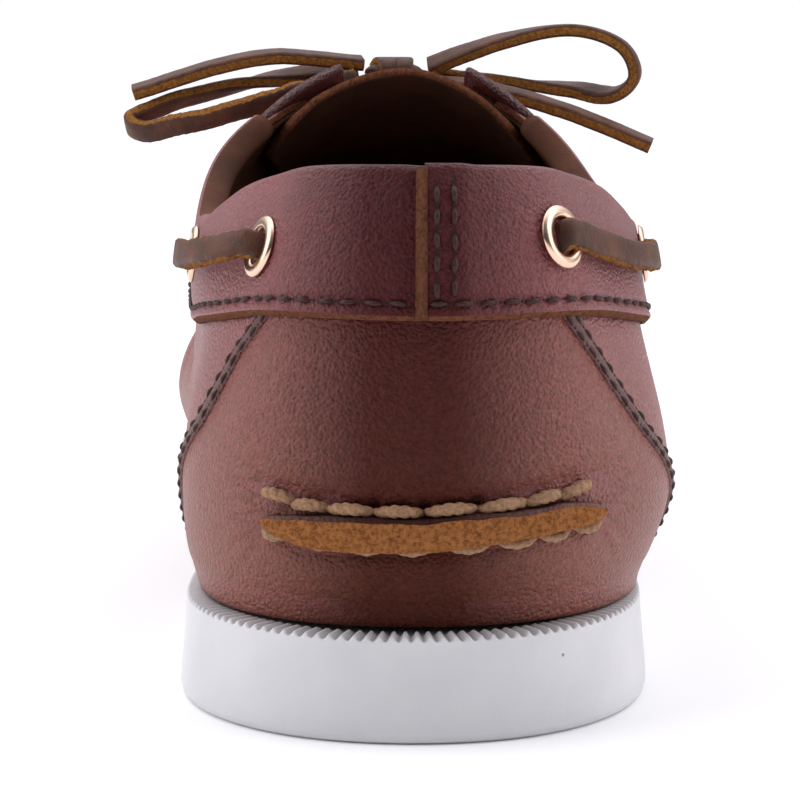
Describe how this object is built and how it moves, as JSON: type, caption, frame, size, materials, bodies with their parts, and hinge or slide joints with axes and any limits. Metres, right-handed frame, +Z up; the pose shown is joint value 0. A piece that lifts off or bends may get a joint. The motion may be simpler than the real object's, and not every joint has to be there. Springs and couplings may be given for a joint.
{
  "type": "boat shoe",
  "caption": "Low moccasin-built leather deck shoe for the right foot, with a collar band, side laces through metal eyelets, a leather bow and a pale rubber sole.",
  "frame": {"origin": "on the floor under the middle of the heel seat, on the sole's flat heel face", "axes": "+Z up, toe towards -Y and heel towards +Y, +X to the inner (medial) side"},
  "size_m": [0.1056, 0.29, 0.1047],
  "materials": {
    "sole_rubber": "matt pale grey-white moulded rubber",
    "insole_leather": "smooth brown lining leather",
    "upper_leather": "full-grain burgundy-brown, soft sheen",
    "collar_leather": "full-grain burgundy-brown, soft sheen",
    "tongue_leather": "full-grain burgundy-brown",
    "raw_edge_leather": "cut tan leather edge, dry",
    "eyelet_metal": "satin champagne-gold plating",
    "lace_leather": "dark brown lace leather with tan cut edges"
  },
  "bodies": {
    "root": {"outsole": "sole_rubber", "insole": "insole_leather", "upper": "upper_leather", "collar_band": "collar_leather", "tongue": "tongue_leather", "eyestay": "upper_leather", "apron_seam": "upper_leather", "heel_seam": "raw_edge_leather", "eyelet_collar_rear_medial": "eyelet_metal", "eyelet_collar_front_medial": "eyelet_metal", "eyelet_facing_upper_medial": "eyelet_metal", "eyelet_facing_lower_medial": "eyelet_metal", "eyelet_collar_rear_lateral": "eyelet_metal", "eyelet_collar_front_lateral": "eyelet_metal", "eyelet_facing_upper_lateral": "eyelet_metal", "eyelet_facing_lower_lateral": "eyelet_metal", "lace_side_medial": "lace_leather", "lace_side_lateral": "lace_leather", "lace_bar_upper": "lace_leather", "lace_bar_lower": "lace_leather", "lace_knot": "lace_leather", "lace_loop_medial": "lace_leather", "lace_loop_lateral": "lace_leather", "lace_end_medial": "lace_leather", "lace_end_lateral": "lace_leather"}
  },
  "joints": []
}
